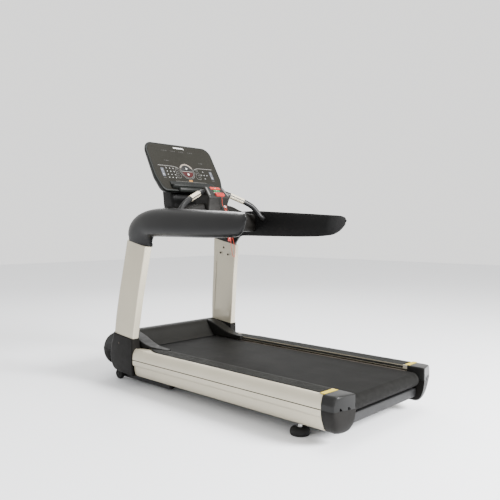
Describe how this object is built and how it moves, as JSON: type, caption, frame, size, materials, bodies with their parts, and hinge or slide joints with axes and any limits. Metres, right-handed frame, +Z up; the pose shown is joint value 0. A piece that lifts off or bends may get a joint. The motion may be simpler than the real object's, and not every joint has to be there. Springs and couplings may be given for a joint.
{
  "type": "treadmill",
  "caption": "Gym treadmill with a cushioned running deck, motor hood, twin uprights, long handrail arms, tilted console, grips, safety key and a powered incline lift.",
  "frame": {"origin": "on the floor, under the middle of the machine's bounding box", "axes": "+X to the user's right, +Y forward to the console and hood, +Z up"},
  "size_m": [0.932, 2.04, 1.5852],
  "materials": {
    "frame_paint": "black powder coat",
    "roller_steel": "turned steel",
    "champagne_aluminium": "satin champagne anodised or painted",
    "black_plastic": "fine texture",
    "satin_black_plastic": "satin moulding",
    "panel_plastic": "flat, finely grained",
    "grey_plastic": "fine texture",
    "cap_plastic": "semi-gloss",
    "motor_paint": "satin",
    "black_rubber": "moulded",
    "belt_rubber": "woven-textured PVC",
    "deck_board": "phenolic-coated fibreboard",
    "strip_rubber": "ribbed",
    "overlay_film": "printed polycarbonate film",
    "stop_red": "satin",
    "start_green": "satin",
    "key_red": "satin",
    "cord_orange": "braided cord",
    "contact_steel": "polished contact plate"
  },
  "bodies": {
    "base": {"arm_inner_panel_left": "panel_plastic", "arm_inner_panel_right": "panel_plastic", "arm_shell_left": "satin_black_plastic", "arm_shell_right": "satin_black_plastic", "bridge_housing": "black_plastic", "console_housing": "black_plastic", "console_neck": "black_plastic", "console_overlay": "overlay_film", "deck_cushion_left": "black_rubber", "deck_cushion_right": "black_rubber", "drive_belt": "black_rubber", "drive_motor": "motor_paint", "end_cap_lower_left": "cap_plastic", "end_cap_lower_right": "cap_plastic", "end_cap_upper_left": "cap_plastic", "end_cap_upper_right": "cap_plastic", "foot_strip_left": "strip_rubber", "foot_strip_right": "strip_rubber", "grip_left": "satin_black_plastic", "grip_right": "satin_black_plastic", "hood_nose": "black_plastic", "hood_wing_left": "grey_plastic", "hood_wing_right": "grey_plastic", "main_frame": "frame_paint", "motor_controller": "black_plastic", "motor_hood": "black_plastic", "pod_housing": "black_plastic", "power_inlet": "black_plastic", "pulse_plate_left": "contact_steel", "pulse_plate_right": "contact_steel", "reading_tray": "black_plastic", "rear_axle": "frame_paint", "running_belt": "belt_rubber", "running_deck": "deck_board", "side_rail_lower_left": "champagne_aluminium", "side_rail_lower_right": "champagne_aluminium", "side_rail_upper_left": "champagne_aluminium", "side_rail_upper_right": "champagne_aluminium", "upright_boot_left": "black_plastic", "upright_boot_right": "black_plastic", "upright_left": "champagne_aluminium", "upright_right": "champagne_aluminium"},
    "lift_frame": {"lift_frame": "frame_paint"},
    "front_wheel_left": {"front_wheel_left": "black_rubber"},
    "front_wheel_right": {"front_wheel_right": "black_rubber"},
    "lift_motor": {"lift_motor": "motor_paint"},
    "lift_screw": {"lift_screw_tube": "frame_paint"},
    "front_roller": {"front_roller": "roller_steel"},
    "rear_roller": {"rear_roller": "roller_steel"},
    "motor_pulley": {"motor_pulley": "roller_steel"},
    "levelling_foot_left": {"levelling_foot_left": "black_rubber"},
    "levelling_foot_right": {"levelling_foot_right": "black_rubber"},
    "pod_start_button": {"pod_start_button": "start_green"},
    "pod_stop_button": {"pod_stop_button": "stop_red"},
    "console_start_key": {"console_start_key": "start_green"},
    "console_stop_key": {"console_stop_key": "stop_red"},
    "power_switch": {"power_switch": "black_plastic"},
    "safety_key": {"safety_key": "key_red", "safety_cord": "cord_orange", "safety_clip": "key_red"}
  },
  "joints": [
    {"name": "lift_hinge", "type": "hinge", "parent": "base", "child": "lift_frame", "pos_m": [0, 0.33, 0.045], "axis": [-1, 0, 0], "range_deg": [0, 20]},
    {"name": "front_wheel_left_spin", "type": "hinge", "parent": "lift_frame", "child": "front_wheel_left", "pos_m": [-0.371, 0.825, 0.035], "axis": [1, 0, 0], "continuous": true},
    {"name": "front_wheel_right_spin", "type": "hinge", "parent": "lift_frame", "child": "front_wheel_right", "pos_m": [0.371, 0.825, 0.035], "axis": [1, 0, 0], "continuous": true},
    {"name": "lift_motor_swing", "type": "hinge", "parent": "base", "child": "lift_motor", "pos_m": [0.17, 0.89, 0.268], "axis": [1, 0, 0], "range_deg": [0, 8.6]},
    {"name": "lift_screw_slide", "type": "slide", "parent": "lift_motor", "child": "lift_screw", "axis": [0, -0.521, -0.8536], "range_m": [0, 0.1425]},
    {"name": "front_roller_spin", "type": "hinge", "parent": "base", "child": "front_roller", "pos_m": [0, 0.7, 0.181], "axis": [1, 0, 0], "continuous": true},
    {"name": "rear_roller_spin", "type": "hinge", "parent": "base", "child": "rear_roller", "pos_m": [0, -0.962, 0.1865], "axis": [1, 0, 0], "continuous": true},
    {"name": "motor_pulley_spin", "type": "hinge", "parent": "base", "child": "motor_pulley", "pos_m": [-0.3, 0.87, 0.205], "axis": [1, 0, 0], "continuous": true},
    {"name": "levelling_foot_left_screw", "type": "slide", "parent": "base", "child": "levelling_foot_left", "axis": [0, 0, -1], "range_m": [0, 0.015]},
    {"name": "levelling_foot_right_screw", "type": "slide", "parent": "base", "child": "levelling_foot_right", "axis": [0, 0, -1], "range_m": [0, 0.015]},
    {"name": "pod_start_press", "type": "slide", "parent": "base", "child": "pod_start_button", "axis": [0, 0.7314, -0.682], "range_m": [0, 0.0018], "stiffness_N_per_m": 900, "springref_m": -0.001},
    {"name": "pod_stop_press", "type": "slide", "parent": "base", "child": "pod_stop_button", "axis": [0, 0.7314, -0.682], "range_m": [0, 0.0018], "stiffness_N_per_m": 900, "springref_m": -0.001},
    {"name": "console_start_press", "type": "slide", "parent": "base", "child": "console_start_key", "axis": [0, 0.866, -0.5], "range_m": [0, 0.0015], "stiffness_N_per_m": 900, "springref_m": -0.001},
    {"name": "console_stop_press", "type": "slide", "parent": "base", "child": "console_stop_key", "axis": [0, 0.866, -0.5], "range_m": [0, 0.0015], "stiffness_N_per_m": 900, "springref_m": -0.001},
    {"name": "power_switch_rock", "type": "hinge", "parent": "base", "child": "power_switch", "pos_m": [0.238, 0.977, 0.157], "axis": [-1, 0, 0], "range_deg": [0, 16]},
    {"name": "safety_key_pull", "type": "slide", "parent": "base", "child": "safety_key", "axis": [0, -0.7314, 0.682], "range_m": [0, 0.03]}
  ],
  "couplings": [
    {"joint": "lift_motor_swing", "follows": "lift_hinge", "ratio": 0.424},
    {"joint": "lift_screw_slide", "follows": "lift_hinge", "m_per_rad": 0.4069},
    {"joint": "rear_roller_spin", "follows": "front_roller_spin", "ratio": 1.1549},
    {"joint": "motor_pulley_spin", "follows": "front_roller_spin", "ratio": 1.4815}
  ]
}
